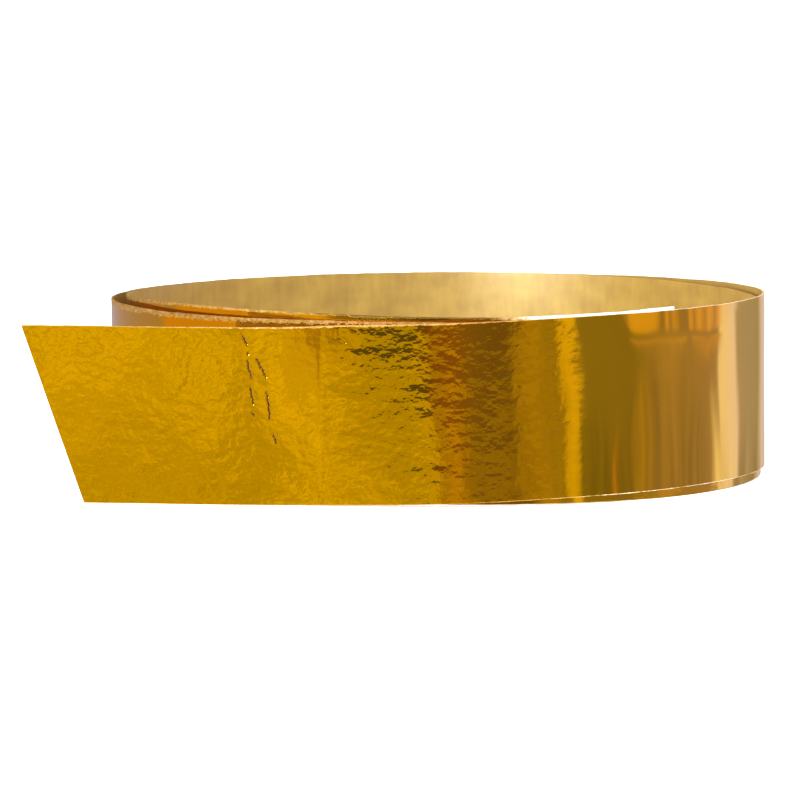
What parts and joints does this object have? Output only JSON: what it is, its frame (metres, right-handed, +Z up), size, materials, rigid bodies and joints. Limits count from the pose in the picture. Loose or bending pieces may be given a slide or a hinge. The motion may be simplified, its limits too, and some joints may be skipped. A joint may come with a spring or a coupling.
{
  "type": "coil of self-adhesive mirror vinyl strip",
  "caption": "Narrow mirror-gold self-adhesive vinyl strip wound in a loose coreless coil on edge, with a straight tail cut at a slant and a release liner inside.",
  "frame": {"origin": "middle of the whole footprint, tail included, on the surface that the coil stands on; the coil's own middle is at x = 4.6 mm, y = 0.15 mm", "axes": "+X from the tail's cut end towards the coil's far side, 5 degrees off the straight tail; +Z up along the coil's axis; the tail's mirror face looks along -Y, turned 5 degrees towards -X"},
  "size_m": [0.104, 0.0951, 0.025],
  "materials": {
    "mirror_film": "mirror gold, slightly orange-peeled",
    "adhesive": "clear to cream, tacky",
    "release_liner": "satin, honey gold"
  },
  "bodies": {
    "coil": {"film_outer_turn": "mirror_film", "adhesive_outer_turn": "adhesive", "liner_outer_turn": "release_liner", "film_crossover": "mirror_film", "adhesive_crossover": "adhesive", "liner_crossover": "release_liner"},
    "inner_turn": {"film_inner_turn": "mirror_film", "adhesive_inner_turn": "adhesive", "liner_inner_turn": "release_liner"},
    "inner_end": {"film_inner_end": "mirror_film", "adhesive_inner_end": "adhesive", "liner_inner_end": "release_liner"},
    "tail_root": {"film_tail_root": "mirror_film", "adhesive_tail_root": "adhesive", "liner_tail_root": "release_liner"},
    "tail_middle": {"film_tail_middle": "mirror_film", "adhesive_tail_middle": "adhesive", "liner_tail_middle": "release_liner"},
    "tail_tip": {"film_tail_tip": "mirror_film", "adhesive_tail_tip": "adhesive", "liner_tail_tip": "release_liner"},
    "peel_tab": {"film_peel_tab": "mirror_film", "adhesive_peel_tab": "adhesive"}
  },
  "joints": [
    {"name": "telescope", "type": "slide", "parent": "coil", "child": "inner_turn", "axis": [0, 0, 1], "range_m": [-0.01, 0.01]},
    {"name": "inner_end_flex", "type": "hinge", "parent": "inner_turn", "child": "inner_end", "pos_m": [0.02056, -0.04265, 0.0125], "axis": [0, 0, 1], "range_deg": [0, 30], "stiffness_Nm_per_rad": 0.0005},
    {"name": "tail_bend", "type": "hinge", "parent": "coil", "child": "tail_root", "pos_m": [-0.01082, -0.04626, 0.0125], "axis": [0, 0, 1], "range_deg": [-18, 20], "stiffness_Nm_per_rad": 0.00015},
    {"name": "tail_bend_middle", "type": "hinge", "parent": "tail_root", "child": "tail_middle", "pos_m": [-0.02377, -0.04513, 0.0125], "axis": [0, 0, 1], "range_deg": [-18, 20]},
    {"name": "tail_bend_tip", "type": "hinge", "parent": "tail_middle", "child": "tail_tip", "pos_m": [-0.03672, -0.04399, 0.0125], "axis": [0, 0, 1], "range_deg": [-18, 20]},
    {"name": "film_peel", "type": "hinge", "parent": "tail_tip", "child": "peel_tab", "pos_m": [-0.04022, -0.04384, 0.0125], "axis": [0, 0, 1], "range_deg": [0, 100]}
  ],
  "couplings": [
    {"joint": "tail_bend_middle", "follows": "tail_bend", "ratio": 1},
    {"joint": "tail_bend_tip", "follows": "tail_bend", "ratio": 1}
  ]
}
